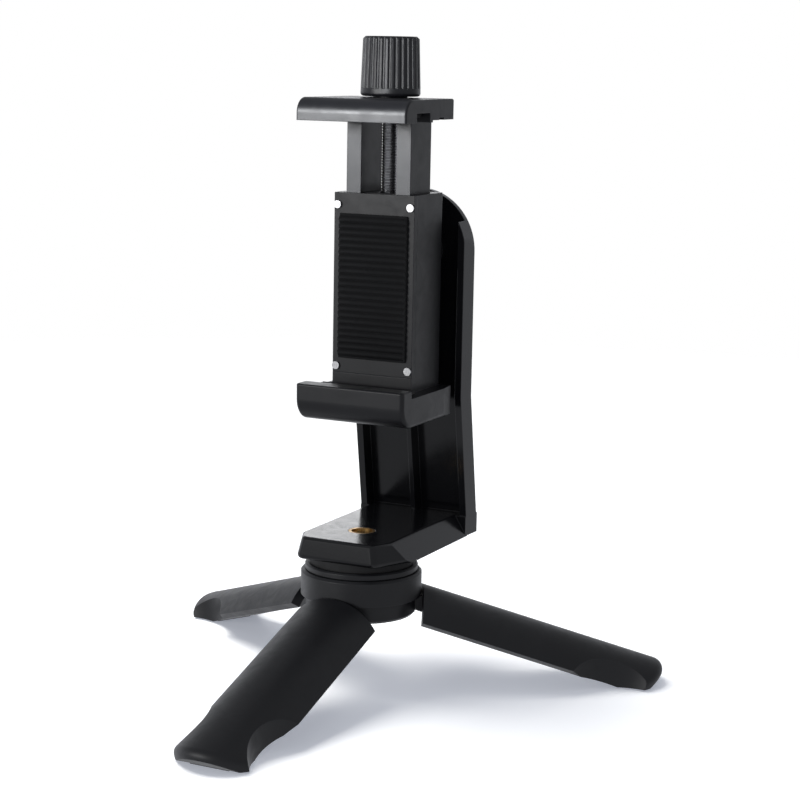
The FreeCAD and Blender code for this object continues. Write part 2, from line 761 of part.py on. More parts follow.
def make_pivot_nut():
    """Locking nut held in the back wall of the clamp body."""
    body = new_body("pivot_nut")
    plan = add_sketch(body, "pivot_nut_plan", "XZ", "-dims.pivot_nut_front")
    add_hexagon(plan, "0", "dims.pivot_height", "dims.pivot_nut_flat")
    add_circle(plan, "0", "dims.pivot_height", "dims.bolt_radius")
    pad(body, plan, "dims.pivot_nut_back - dims.pivot_nut_front", reverse=True)
    return body


def make_pivot_washer():
    """Friction washer between the clamp body and the upright."""
    body = new_body("pivot_washer")
    plan = add_sketch(body, "pivot_washer_plan", "XZ", "-dims.clip_back")
    add_circle(plan, "0", "dims.pivot_height", "dims.pivot_washer_radius")
    add_circle(plan, "0", "dims.pivot_height", "dims.bolt_radius")
    front = "(dims.upright_front - dims.upright_back + dims.knee_back)"
    pad(body, plan, f"{front} - dims.clip_back - dims.pivot_gap", reverse=True)
    return body


def vertical_corner(edge, across, along):
    """True for an upright edge at distance across from the plane of symmetry, at Y = along."""
    if not straight_along(edge, "z"):
        return False
    point = edge.CenterOfMass
    return near(abs(point.x), across) and near(point.y, along)


def level_edge(edge, along, height):
    """True for a straight edge along X at this Y and height."""
    point = edge.CenterOfMass
    return straight_along(edge, "x") and near(point.y, along) and near(point.z, height)


def jaw_side_sketch(body, name, front, back, low, high):
    """Block seen from the side, from front to back and from low to high."""
    sketch = add_sketch(body, name, "YZ")
    add_box_outline(sketch, front, low, back, high)
    return sketch


def make_clip_body():
    """Lower jaw and spine: a trough open to the front, with seats for both nuts."""
    body = new_body("clip_body")
    jaw = jaw_side_sketch(body, "jaw_side", "-dims.jaw_front", "dims.clip_back", "dims.jaw_bottom",
                          "dims.jaw_lip_top")
    pad(body, jaw, "2 * dims.jaw_half", both=True)
    dress(body, "Fillet", "dims.jaw_round", lambda edge: level_edge(
        edge, -value("dims.jaw_front"), value("dims.jaw_bottom")))
    relief = add_sketch(body, "jaw_back_relief", "XY", "dims.jaw_bottom - 1")
    for side in ("", "-"):
        add_outline(relief, [
            (f"{side}dims.jaw_half", "dims.clip_back - dims.jaw_relief_length"),
            (f"{side}(dims.jaw_half + 1)", "dims.clip_back - dims.jaw_relief_length"),
            (f"{side}(dims.jaw_half + 1)", "dims.clip_back + 1"),
            (f"{side}(dims.jaw_half - dims.jaw_relief_depth)", "dims.clip_back + 1"),
        ])
    pocket(body, relief, "dims.jaw_lip_top - dims.jaw_bottom + 2", reverse=True)
    dress(body, "Fillet", "dims.jaw_corner", lambda edge: vertical_corner(
        edge, value("dims.jaw_half"), -value("dims.jaw_front")))
    tray = jaw_side_sketch(body, "tray_side", "-dims.lip_back", "dims.clip_back + 1", "dims.jaw_floor",
                           "dims.jaw_lip_top + 1")
    pocket(body, tray, both=True)
    dress(body, "Fillet", "dims.lip_round", lambda edge: level_edge(
        edge, -value("dims.jaw_front"), value("dims.jaw_lip_top")))
    spine = add_sketch(body, "spine_plan", "XY", "dims.jaw_floor - 1")
    round_across = "dims.spine_half - dims.jaw_corner"
    round_along = "dims.clip_back - dims.jaw_corner"
    add_outline(spine, [
        ("-dims.spine_half", "dims.spine_front"),
        ("dims.spine_half", "dims.spine_front"),
        ("dims.spine_half", round_along),
        (round_across, "dims.clip_back", round_across, round_along, 1),
        (f"-({round_across})", "dims.clip_back"),
        ("-dims.spine_half", round_along, f"-({round_across})", round_along, 1),
    ])
    pad(body, spine, "dims.spine_top - dims.jaw_floor + 1")
    trough = add_sketch(body, "trough_plan", "XY", "dims.cavity_bottom")
    add_box_outline(trough, "-dims.cavity_half", "dims.spine_front - 1", "dims.cavity_half", "dims.cavity_back")
    pocket(body, trough, "dims.spine_top - dims.cavity_bottom + 1", reverse=True)
    rebate = add_sketch(body, "cover_rebate_plan", "XY", "dims.cavity_bottom")
    add_box_outline(rebate, "-dims.spine_half - 1", "dims.spine_front - 1", "dims.spine_half + 1",
                    "dims.cover_back")
    pocket(body, rebate, "dims.spine_top - dims.cavity_bottom + 1", reverse=True)
    carrier = add_sketch(body, "carrier_plan", "XY", "dims.carrier_bottom")
    add_box_outline(carrier, "-dims.carrier_half", "dims.carrier_front", "dims.carrier_half",
                    "dims.cavity_back + 0.5")
    pad(body, carrier, "dims.spine_top - dims.carrier_bottom")
    nut_seat = add_sketch(body, "clamp_nut_seat", "XY", "dims.clamp_nut_bottom")
    add_box_outline(nut_seat, "-dims.clamp_nut_half", "dims.carrier_front - 1", "dims.clamp_nut_half",
                    "dims.screw_axis_y + dims.clamp_nut_half")
    pocket(body, nut_seat, "dims.clamp_nut_top - dims.clamp_nut_bottom", reverse=True)
    passage = add_sketch(body, "screw_passage", "XY", "dims.spine_top")
    add_circle(passage, "0", "dims.screw_axis_y", "dims.screw_radius + 0.3")
    pocket(body, passage, "dims.spine_top - dims.carrier_bottom + 1")
    block = add_sketch(body, "pivot_block", "XZ", "-dims.cavity_back - 0.5")
    add_box_outline(block, "-dims.pivot_block_half", "dims.pivot_height - dims.pivot_block_reach",
                    "dims.pivot_block_half", "dims.carrier_bottom + 0.5")
    pad(body, block, "dims.cavity_back + 0.5 - dims.pivot_block_front")
    nut_pocket = add_sketch(body, "pivot_nut_pocket", "XZ", "-dims.pivot_block_front + 0.5")
    add_hexagon(nut_pocket, "0", "dims.pivot_height", "dims.pivot_nut_flat")
    pocket(body, nut_pocket, "dims.pivot_nut_back - dims.pivot_block_front + 0.5")
    bore = add_sketch(body, "clip_pivot_bore", "XZ")
    add_circle(bore, "0", "dims.pivot_height", "dims.bolt_radius")
    pocket(body, bore, both=True)
    holes = add_sketch(body, "cover_screw_holes", "XZ", "-dims.cover_back + 0.5")
    add_cover_screw_circles(holes, "dims.cover_screw_radius")
    pocket(body, holes, "dims.cover_screw_length - dims.cover_back + dims.spine_front + 0.5")
    return body


def add_cover_screw_circles(sketch, radius):
    """Four equal circles where the cover's screws sit."""
    for across in ("dims.cover_screw_x", "-dims.cover_screw_x"):
        for height in ("dims.cover_screw_low", "dims.cover_screw_high"):
            add_circle(sketch, across, height, radius)


def make_clip_cover():
    """Plate that closes the front of the spine."""
    body = new_body("clip_cover")
    plate = add_sketch(body, "cover_plate", "XZ", "-dims.spine_front")
    add_box_outline(plate, "-dims.spine_half", "dims.cavity_bottom", "dims.spine_half", "dims.spine_top")
    pad(body, plate, "dims.cover_back - dims.spine_front", reverse=True)
    holes = add_sketch(body, "cover_holes", "XZ", "-dims.spine_front")
    add_cover_screw_circles(holes, "dims.cover_screw_radius")
    pocket(body, holes)
    return body


def make_cover_screws():
    """Four small screws with flat round heads, one solid each."""
    screws = []
    for across in (1, -1):
        for height in ("dims.cover_screw_low", "dims.cover_screw_high"):
            number = len(screws) + 1
            plate_front = value("dims.hub_axis_y + dims.spine_front")
            face = FreeCAD.Vector(across * value("dims.cover_screw_x"), plate_front, value(height))
            shank = add_screw_cylinder(f"cover_screw_shank_{number}", "dims.cover_screw_radius",
                                       "dims.cover_screw_length", face, -90)
            head = add_screw_cylinder(f"cover_screw_head_{number}", "dims.cover_screw_head",
                                      "dims.cover_screw_rise", face, 90)
            screw = doc.addObject("Part::Fuse", f"cover_screw_{number}")
            screw.Base = shank
            screw.Tool = head
            screws.append(screw)
    group = doc.addObject("Part::Compound", "cover_screws")
    group.Links = screws
    group.Label = "cover_screws"
    doc.recompute()
    return group


def add_screw_cylinder(name, radius, length, base, turn):
    """Cylinder from base along Y: to the back when turn is -90, to the front when it is 90."""
    cylinder = doc.addObject("Part::Cylinder", name)
    cylinder.setExpression("Radius", radius)
    cylinder.setExpression("Height", length)
    cylinder.Placement = FreeCAD.Placement(base, FreeCAD.Rotation(FreeCAD.Vector(1, 0, 0), turn))
    return cylinder


def make_clamp_nut():
    """Square brass nut in the carrier of the spine."""
    body = new_body("clamp_nut")
    plan = add_sketch(body, "clamp_nut_plan", "XY", "dims.clamp_nut_bottom")
    add_box_outline(plan, "-dims.clamp_nut_half", "dims.screw_axis_y - dims.clamp_nut_half",
                    "dims.clamp_nut_half", "dims.screw_axis_y + dims.clamp_nut_half")
    add_circle(plan, "0", "dims.screw_axis_y", "dims.screw_radius + dims.running_gap")
    pad(body, plan, "dims.clamp_nut_top - dims.clamp_nut_bottom")
    return body


def make_lower_pad():
    """Rubber pad on the floor of the lower jaw."""
    body = new_body("lower_pad")
    plan = add_sketch(body, "lower_pad_plan", "XY", "dims.jaw_floor")
    add_box_outline(plan, "-dims.pad_half", "-dims.lip_back", "dims.pad_half", "dims.back_pad_front")
    pad(body, plan, "dims.lower_pad_top - dims.jaw_floor")
    return body


def make_back_pad():
    """Rubber pad on the front of the spine."""
    body = new_body("back_pad")
    plan = add_sketch(body, "back_pad_outline", "XZ", "-dims.back_pad_front")
    add_box_outline(plan, "-dims.back_pad_half", "dims.back_pad_bottom", "dims.back_pad_half",
                    "dims.back_pad_top")
    pad(body, plan, "dims.spine_front - dims.back_pad_front", reverse=True)
    return body


def is_upper_rim(edge):
    """True for an edge round the top face of the upper jaw, its front edge left out."""
    box = edge.BoundBox
    behind = box.YMax > value("dims.upper_round - dims.upper_front") + 1
    return near(box.ZMin, value("dims.upper_top")) and behind


def make_upper_jaw():
    """Upper jaw with a front lip, a pad recess and two guide legs."""
    body = new_body("upper_jaw")
    side = add_sketch(body, "upper_side", "YZ")
    add_outline(side, [
        ("-dims.upper_front", "dims.upper_bottom"),
        ("-dims.upper_lip_back", "dims.upper_bottom"),
        ("-dims.upper_lip_back", "dims.upper_roof"),
        ("dims.upper_pad_back", "dims.upper_roof"),
        ("dims.upper_pad_back", "dims.upper_bottom"),
        ("dims.upper_heel_front", "dims.upper_bottom"),
        ("dims.upper_heel_front", "dims.upper_heel"),
        ("dims.upper_notch_front", "dims.upper_heel"),
        ("dims.upper_notch_front", "dims.upper_notch_top"),
        ("dims.upper_notch_back", "dims.upper_notch_top"),
        ("dims.upper_notch_back", "dims.upper_heel"),
        ("dims.upper_back", "dims.upper_heel"),
        ("dims.upper_back", "dims.upper_top"),
        ("-dims.upper_front", "dims.upper_top"),
    ])
    pad(body, side, "2 * dims.jaw_half", both=True)
    dress(body, "Fillet", "dims.upper_round", lambda edge: level_edge(
        edge, -value("dims.upper_front"), value("dims.upper_top")))
    dress(body, "Fillet", "dims.jaw_corner", lambda edge: straight_along(edge, "z")
          and near(abs(edge.CenterOfMass.x), value("dims.jaw_half"))
          and near(edge.CenterOfMass.y, value("dims.upper_back")))
    dress(body, "Fillet", "dims.upper_edge", is_upper_rim)
    guides = add_sketch(body, "guide_plan", "XY", "dims.guide_bottom")
    add_box_outline(guides, "dims.guide_inner", "dims.guide_front", "dims.guide_outer", "dims.guide_back")
    add_box_outline(guides, "-dims.guide_outer", "dims.guide_front", "-dims.guide_inner", "dims.guide_back")
    pad(body, guides, "dims.upper_roof - dims.guide_bottom")
    relief = add_sketch(body, "ring_relief", "XY", "dims.upper_roof")
    add_circle(relief, "0", "dims.screw_axis_y", "dims.ring_radius + 0.6")
    pocket(body, relief)
    bore = add_sketch(body, "screw_bore", "XY", "dims.upper_top")
    add_circle(bore, "0", "dims.screw_axis_y", "dims.screw_radius + dims.running_gap")
    pocket(body, bore)
    return body


def make_upper_pad():
    """Rubber pad under the upper jaw."""
    body = new_body("upper_pad")
    plan = add_sketch(body, "upper_pad_plan", "XY", "dims.upper_pad_bottom")
    add_box_outline(plan, "-dims.pad_half", "-dims.upper_lip_back", "dims.pad_half", "dims.upper_pad_back")
    pad(body, plan, "dims.upper_roof - dims.upper_pad_bottom")
    return body


def screw_axis_body(label, radius, bottom, top, bore=None):
    """Disc or ring about the clamp screw, between two levels."""
    body = new_body(label)
    plan = add_sketch(body, label + "_plan", "XY", bottom)
    add_circle(plan, "0", "dims.screw_axis_y", radius)
    if bore is not None:
        add_circle(plan, "0", "dims.screw_axis_y", bore)
    pad(body, plan, f"{top} - {bottom}")
    return body


def make_knob():
    """Fluted knob, slightly tapered, with a smooth band at its foot."""
    body = new_body("knob")
    outline = add_sketch(body, "knob_outline", "YZ")
    axis = "dims.screw_axis_y"
    foot_centre = (f"{axis} + dims.knob_radius_bottom - dims.knob_foot_round",
                   "dims.knob_bottom + dims.knob_foot_round")
    add_outline(outline, [
        (axis, "dims.knob_bottom"),
        (foot_centre[0], "dims.knob_bottom"),
        (f"{axis} + dims.knob_radius_bottom", foot_centre[1], foot_centre[0], foot_centre[1], 1),
        (f"{axis} + dims.knob_radius_top", "dims.knob_top - dims.knob_edge"),
        (f"{axis} + dims.knob_radius_top - dims.knob_edge", "dims.knob_top"),
        (axis, "dims.knob_top"),
    ])
    centre_line = outline.addGeometry(Part.LineSegment(
        FreeCAD.Vector(value(axis), 150, 0), FreeCAD.Vector(value(axis), 160, 0)), True)
    fix_point(outline, centre_line, 1, axis, "150")
    fix_point(outline, centre_line, 2, axis, "160")
    turned = body.newObject("PartDesign::Revolution", "knob_turned")
    turned.Profile = outline
    turned.ReferenceAxis = (outline, ["Axis0"])
    turned.Angle = 360
    finish_feature(body, turned, outline)
    bore = add_sketch(body, "knob_bore", "XY", "dims.knob_bottom")
    add_circle(bore, "0", axis, "dims.screw_radius")
    pocket(body, bore, "dims.screw_top - dims.knob_bottom", reverse=True)
    flute = add_sketch(body, "knob_flute", "XY", "dims.flute_start")
    rise = "(dims.knob_top - dims.knob_edge - dims.knob_bottom - dims.knob_foot_round)"
    taper = f"(dims.knob_radius_bottom - dims.knob_radius_top) / {rise}"
    reach = (f"dims.knob_radius_bottom + dims.flute_inset"
             f" - (dims.flute_start - dims.knob_bottom - dims.knob_foot_round) * {taper}")
    add_circle(flute, "0", f"{axis} + {reach}", "dims.flute_radius")
    groove = pocket(body, flute, "dims.knob_top - dims.flute_start + 1",
                    direction=FreeCAD.Vector(0, -value(taper), 1))
    ring = body.newObject("PartDesign::PolarPattern", "knob_flutes")
    ring.Originals = [groove]
    ring.Axis = (outline, ["Axis0"])
    ring.Angle = 360
    ring.setExpression("Occurrences", "dims.flute_count")
    finish_feature(body, ring, flute)
    return body


def make_every_part():
    """List of every sub-part."""
    parts = [
        make_hub_drum(),
        round_body("hub_base_cap", "dims.base_cap_radius", None, "dims.collar_bottom", "dims.base_cap_height"),
        make_swivel_disc(),
        round_body("top_pad", "dims.pad_radius", "dims.stud_radius", "dims.disc_top",
                   "dims.foot_bottom - dims.disc_top"),
        make_stud(),
        make_stud_nut(),
        round_body("stud_washer", "dims.stud_washer_radius", "dims.stud_radius", "dims.stud_nut_top",
                   "dims.stud_washer_height"),
    ]
    for number, azimuth in enumerate(LEG_AZIMUTHS, start=1):
        parts.append(make_leg(number, azimuth))
        parts.append(make_leg_pin(number, azimuth))
        parts.append(make_leg_foot(number, azimuth))
    parts += [
        make_bracket(),
        make_insert(),
        make_pivot_bolt(),
        make_pivot_nut(),
        make_pivot_washer(),
        make_clip_body(),
        make_clip_cover(),
        make_cover_screws(),
        make_clamp_nut(),
        make_lower_pad(),
        make_back_pad(),
        make_upper_jaw(),
        make_upper_pad(),
        screw_axis_body("clamp_screw", "dims.screw_radius", "dims.screw_bottom", "dims.screw_top"),
        screw_axis_body("retaining_ring", "dims.ring_radius", "dims.ring_bottom", "dims.ring_top",
                        "dims.screw_radius"),
        screw_axis_body("knob_washer", "dims.knob_washer_radius", "(dims.upper_top + dims.knob_washer_gap)",
                        "dims.knob_bottom", "dims.screw_radius"),
        make_knob(),
    ]
    return parts


def check_part(part):
    """Stop on a failed feature or a bad shape."""
    features = [part] + list(getattr(part, "Group", []))
    for feature in features:
        check_feature(feature)
    if part.Shape.isNull() or not part.Shape.isValid():
        raise RuntimeError(f"{part.Label} has a bad shape")


def main():
    """Build, check and write every sub-part."""
    parts = make_every_part()
    doc.recompute()
    os.makedirs(OUT_FOLDER, exist_ok=True)
    for part in parts:
        check_part(part)
    for part in parts:
        part.Shape.exportStep(f"{OUT_FOLDER}/{part.Label}.step")
        print(f"{part.Label}: {len(part.Shape.Solids)} solids, {part.Shape.Volume:.1f} mm3")


main()
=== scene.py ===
"""Picture of a phone clamp on a folding mini tripod: camera, materials, soft light, threads and ribbed pads.

Lengths are in metres, in the frame of the CAD model. Its nodes keep their place and their mesh.
"""

import math

import bmesh
import bpy
from mathutils import Matrix, Vector


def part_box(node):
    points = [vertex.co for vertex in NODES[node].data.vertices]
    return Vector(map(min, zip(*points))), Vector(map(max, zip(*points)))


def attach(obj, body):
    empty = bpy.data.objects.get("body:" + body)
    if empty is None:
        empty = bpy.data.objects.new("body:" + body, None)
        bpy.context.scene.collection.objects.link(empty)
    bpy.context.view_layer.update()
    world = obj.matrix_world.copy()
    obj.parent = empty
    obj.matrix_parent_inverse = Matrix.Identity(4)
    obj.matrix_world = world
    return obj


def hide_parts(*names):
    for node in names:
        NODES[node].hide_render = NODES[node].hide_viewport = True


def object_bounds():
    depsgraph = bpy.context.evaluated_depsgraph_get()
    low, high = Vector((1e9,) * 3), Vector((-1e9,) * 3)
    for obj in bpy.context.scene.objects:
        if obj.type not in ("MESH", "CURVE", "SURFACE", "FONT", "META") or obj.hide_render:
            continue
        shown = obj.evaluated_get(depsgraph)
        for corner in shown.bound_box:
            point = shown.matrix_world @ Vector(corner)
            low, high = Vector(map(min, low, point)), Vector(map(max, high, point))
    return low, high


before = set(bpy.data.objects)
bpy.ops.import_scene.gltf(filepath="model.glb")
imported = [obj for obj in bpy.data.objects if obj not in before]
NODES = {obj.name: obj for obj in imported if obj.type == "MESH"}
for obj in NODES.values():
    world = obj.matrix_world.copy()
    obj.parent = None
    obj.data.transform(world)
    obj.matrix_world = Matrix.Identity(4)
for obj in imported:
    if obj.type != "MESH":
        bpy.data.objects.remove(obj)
cad_low, cad_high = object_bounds()

# ---------------------------------------------------------------- camera

CAMERA_PLACE = Vector((0.26746, -0.49822, 0.18605))
CAMERA_AZIMUTH = math.radians(26.29)
CAMERA_PITCH = math.radians(9.80)
CAMERA_ROLL = math.radians(1.04)
CAMERA_LENS = 91.098
VIEW_RIGHT = Vector((math.cos(CAMERA_AZIMUTH), math.sin(CAMERA_AZIMUTH), 0))
VIEW_BACK = Vector((
    math.sin(CAMERA_AZIMUTH) * math.cos(CAMERA_PITCH),
    -math.cos(CAMERA_AZIMUTH) * math.cos(CAMERA_PITCH),
    math.sin(CAMERA_PITCH),
))
VIEW_UP = VIEW_BACK.cross(VIEW_RIGHT)


def make_camera():
    """A camera at the product shot's place, a little above the object and to its right."""
    data = bpy.data.cameras.new("camera")
    data.sensor_width = 36
    data.lens = CAMERA_LENS
    data.clip_start = 0.01
    data.clip_end = 50
    camera = bpy.data.objects.new("camera", data)
    bpy.context.scene.collection.objects.link(camera)
    right = VIEW_RIGHT * math.cos(CAMERA_ROLL) + VIEW_UP * math.sin(CAMERA_ROLL)
    up = VIEW_UP * math.cos(CAMERA_ROLL) - VIEW_RIGHT * math.sin(CAMERA_ROLL)
    turn = Matrix((right, up, VIEW_BACK)).transposed().to_4x4()
    camera.matrix_world = Matrix.Translation(CAMERA_PLACE) @ turn
    bpy.context.scene.camera = camera


make_camera()

# ---------------------------------------------------------------- node helpers


def new_material(name):
    """An empty node material with its output node."""
    material = bpy.data.materials.new(name)
    material.use_nodes = True
    material.node_tree.nodes.clear()
    output = material.node_tree.nodes.new("ShaderNodeOutputMaterial")
    return material, material.node_tree, output


def feed(tree, socket, value):
    """Links another node's output to the socket, or stores a plain value in it."""
    if isinstance(value, bpy.types.NodeSocket):
        tree.links.new(value, socket)
    else:
        socket.default_value = value


def add(tree, kind, **inputs):
    """A shader node of that kind, with its inputs fed by name; an underscore stands for a space."""
    node = tree.nodes.new("ShaderNode" + kind)
    for name, value in inputs.items():
        feed(tree, node.inputs[name.replace("_", " ")], value)
    return node


def noise(tree, place, scale, detail=2.0, roughness=0.5, distortion=0.0):
    """Noise from 0 to 1 at that many features per metre."""
    node = add(tree, "TexNoise", Vector=place, Scale=scale, Detail=detail,
               Roughness=roughness, Distortion=distortion)
    return node.outputs["Fac"]


def remap(tree, value, span, onto):
    """Value, held inside the span and moved from it onto the other one."""
    node = add(tree, "MapRange", Value=value)
    for name, number in zip(("From Min", "From Max", "To Min", "To Max"), (*span, *onto)):
        node.inputs[name].default_value = number
    return node.outputs["Result"]


def blend_colours(tree, share, first, second):
    """The first colour where share is 0 and the second where it is 1."""
    node = tree.nodes.new("ShaderNodeMix")
    node.data_type = "RGBA"
    factor, colours = node.inputs[0], node.inputs[6:8]
    tree.links.new(share, factor)
    for socket, colour in zip(colours, (first, second)):
        feed(tree, socket, (*colour, 1) if isinstance(colour, tuple) else colour)
    return node.outputs[2]


def mix_shaders(tree, share, first, second):
    """The first shader node where share is 0 and the second where it is 1."""
    mix = tree.nodes.new("ShaderNodeMixShader")
    for socket, source in zip(mix.inputs, (share, first.outputs[0], second.outputs[0])):
        tree.links.new(source, socket)
    return mix.outputs[0]


def math_node(tree, operation, first, second):
    """The result of an operation on two numbers."""
    node = tree.nodes.new("ShaderNodeMath")
    node.operation = operation
    for socket, value in zip(node.inputs, (first, second)):
        feed(tree, socket, value)
    return node.outputs[0]


def dot_product(tree, first, second):
    """How well two directions agree: 1 when they are the same, 0 when they are square to each other."""
    node = tree.nodes.new("ShaderNodeVectorMath")
    node.operation = "DOT_PRODUCT"
    for socket, value in zip(node.inputs, (first, second)):
        feed(tree, socket, value)
    return node.outputs["Value"]


def rounded_normal(tree, radius, samples):
    """The surface normal, as if every edge were rounded to that radius."""
    bevel = add(tree, "Bevel", Radius=radius)
    bevel.samples = samples
    return bevel.outputs[0]


def edge_share(tree, radius, span):
    """1 at outer edges and 0 on open faces, from how far a rounded normal leans off the true one."""
    true_normal = add(tree, "NewGeometry").outputs["Normal"]
    agreement = dot_product(tree, rounded_normal(tree, radius, 4), true_normal)
    return remap(tree, agreement, span, (1, 0))


# ---------------------------------------------------------------- materials

BLACK = (0.0098, 0.0102, 0.0126)
PALE_EDGE = (0.026, 0.027, 0.032)
DARK_SHARE = 0.78
EDGE_ROUND = 0.00028
WORN_WIDTH = 0.0005
WORN_GLOSS = 0.08
STREAK_DEPTH = 0.00002


def plastic(name, roughness, grain_size, grain_depth, colour=BLACK, wear_colour=PALE_EDGE,
            spread=0.06, sheen=0.5):
    """Moulded plastic or rubber: fine grain, slow changes of gloss, edges rubbed smoother and paler."""
    material, tree, output = new_material(name)
    place = add(tree, "TexCoord").outputs["Object"]
    grain = noise(tree, place, 1 / grain_size, detail=3.0, roughness=0.6)
    flow = noise(tree, place, 45, detail=3.0, roughness=0.55, distortion=0.6)
    smudge = noise(tree, place, 160, detail=4.0, roughness=0.6, distortion=1.2)
    edge = edge_share(tree, WORN_WIDTH, (0.80, 0.995))
    worn = math_node(tree, "MULTIPLY", edge, remap(tree, smudge, (0.35, 0.7), (0.25, 1)))
    dark = tuple(DARK_SHARE * channel for channel in colour)
    body = blend_colours(tree, remap(tree, flow, (0.3, 0.7), (0, 1)), dark, colour)
    skin = blend_colours(tree, worn, body, wear_colour)
    gloss = remap(tree, smudge, (0.3, 0.72), (roughness - spread, roughness + spread))
    gloss = math_node(tree, "SUBTRACT", gloss, math_node(tree, "MULTIPLY", worn, WORN_GLOSS))
    normal = rounded_normal(tree, EDGE_ROUND, 6)
    bump = add(tree, "Bump", Strength=1.0, Distance=grain_depth, Height=grain, Normal=normal)
    shader = add(tree, "BsdfPrincipled", Base_Color=skin, Roughness=gloss, Normal=bump.outputs[0],
                 IOR=1.5, Specular_IOR_Level=sheen)
    tree.links.new(shader.outputs[0], output.inputs["Surface"])
    return material


def metal(name, colour, dull_colour, roughness, streaks_per_metre=9000):
    """Turned metal: fine streaks round its axis, duller patches, and brighter edges."""
    material, tree, output = new_material(name)
    place = add(tree, "TexCoord").outputs["Object"]
    stretch = add(tree, "Mapping", Vector=place, Scale=(0.15, 0.15, 1.0))
    streak = noise(tree, stretch.outputs[0], streaks_per_metre, detail=2.0, roughness=0.6)
    patch = noise(tree, place, 420, detail=4.0, roughness=0.6, distortion=0.8)
    tone = blend_colours(tree, remap(tree, patch, (0.35, 0.7), (0, 1)), colour, dull_colour)
    bright = tuple(min(1, 1.15 * channel) for channel in colour)
    skin = blend_colours(tree, edge_share(tree, 0.0003, (0.80, 0.99)), tone, bright)
    gloss = remap(tree, patch, (0.3, 0.75), (roughness - 0.08, roughness + 0.12))
    bump = add(tree, "Bump", Strength=0.6, Distance=STREAK_DEPTH, Height=streak)
    shader = add(tree, "BsdfPrincipled", Base_Color=skin, Roughness=gloss, Normal=bump.outputs[0], Metallic=1)
    tree.links.new(shader.outputs[0], output.inputs["Surface"])
    return material


MATERIALS = {
    "tripod_plastic": plastic("tripod_plastic", roughness=0.42, grain_size=0.00034, grain_depth=0.000018),
    "leg_plastic": plastic("leg_plastic", roughness=0.46, grain_size=0.00040, grain_depth=0.000022),
    "bracket_plastic": plastic("bracket_plastic", roughness=0.19, grain_size=0.00110, grain_depth=0.000006,
                               spread=0.04),
    "clamp_plastic": plastic("clamp_plastic", roughness=0.38, grain_size=0.00036, grain_depth=0.000012,
                             sheen=0.4),
    "knob_plastic": plastic("knob_plastic", roughness=0.36, grain_size=0.00036, grain_depth=0.000012),
    "pad_rubber": plastic("pad_rubber", roughness=0.72, grain_size=0.00025, grain_depth=0.000030,
                          colour=(0.013, 0.013, 0.014), wear_colour=(0.022, 0.022, 0.023)),
    "steel": metal("steel", colour=(0.56, 0.56, 0.57), dull_colour=(0.36, 0.36, 0.37), roughness=0.32),
    "brass": metal("brass", colour=(0.80, 0.54, 0.22), dull_colour=(0.52, 0.31, 0.11), roughness=0.30),
}

# ---------------------------------------------------------------- stage and light

FLOOR_REACH = 6.0
FLOOR_RINGS = 24
FLOOR_SIDES = 96
FLOOR_FADE = (0.24, 0.75)
FLOOR_GLOW = 0.32
FLOOR_TINT = (0.82, 0.87, 1.0, 1)
COOL_SKY = (0.93, 0.95, 1.0, 1)
WHITE = (1, 1, 1)
COOL = (0.95, 0.97, 1.0)
WARM = (1.0, 0.985, 0.93)


def direction_at(side, behind, height):
    """A direction from the object, as shares to the viewer's right, away from the viewer, and up."""
    away = Vector((-math.sin(CAMERA_AZIMUTH), math.cos(CAMERA_AZIMUTH), 0))
    return VIEW_RIGHT * side + away * behind + Vector((0, 0, height))


def floor_mesh():
    """A flat round mesh whose rings lie closer together near the middle."""
    points = [(0, 0, 0)]
    faces = []
    for ring in range(1, FLOOR_RINGS + 1):
        radius = FLOOR_REACH * (ring / FLOOR_RINGS) ** 2
        for side in range(FLOOR_SIDES):
            angle = 2 * math.pi * side / FLOOR_SIDES
            points.append((radius * math.cos(angle), radius * math.sin(angle), 0))
    for side in range(FLOOR_SIDES):
        faces.append((0, 1 + side, 1 + (side + 1) % FLOOR_SIDES))
    for ring in range(FLOOR_RINGS - 1):
        inner, outer = 1 + ring * FLOOR_SIDES, 1 + (ring + 1) * FLOOR_SIDES
        for side in range(FLOOR_SIDES):
            after = (side + 1) % FLOOR_SIDES
            faces.append((inner + side, outer + side, outer + after, inner + after))
    mesh = bpy.data.meshes.new("floor")
    mesh.from_pydata(points, [], faces)
    return mesh


def floor_material():
    """White with a faint mottle. It turns clear far from the middle, so no horizon shows."""
    material, tree, output = new_material("floor_white")
    place = add(tree, "TexCoord").outputs["Object"]
    distance = tree.nodes.new("ShaderNodeVectorMath")
    distance.operation = "LENGTH"
    tree.links.new(place, distance.inputs[0])
    far = remap(tree, distance.outputs["Value"], FLOOR_FADE, (0, 1))
    mottle = noise(tree, place, 30, detail=3.0)
    skin = blend_colours(tree, mottle, (0.86, 0.865, 0.88), (0.88, 0.885, 0.90))
    white = add(tree, "BsdfPrincipled", Base_Color=skin, Roughness=0.55,
                Emission_Color=FLOOR_TINT, Emission_Strength=FLOOR_GLOW)
    clear = add(tree, "BsdfTransparent")
    tree.links.new(mix_shaders(tree, far, white, clear), output.inputs["Surface"])
    return material


def make_floor():
    """A white floor that takes shadows. It sends no light back up: make_world's ground does that."""
    mesh = floor_mesh()
    mesh.materials.append(floor_material())
    floor = bpy.data.objects.new("floor", mesh)
    bpy.context.scene.collection.objects.link(floor)
    floor.visible_diffuse = False
    floor.visible_glossy = False
    return floor


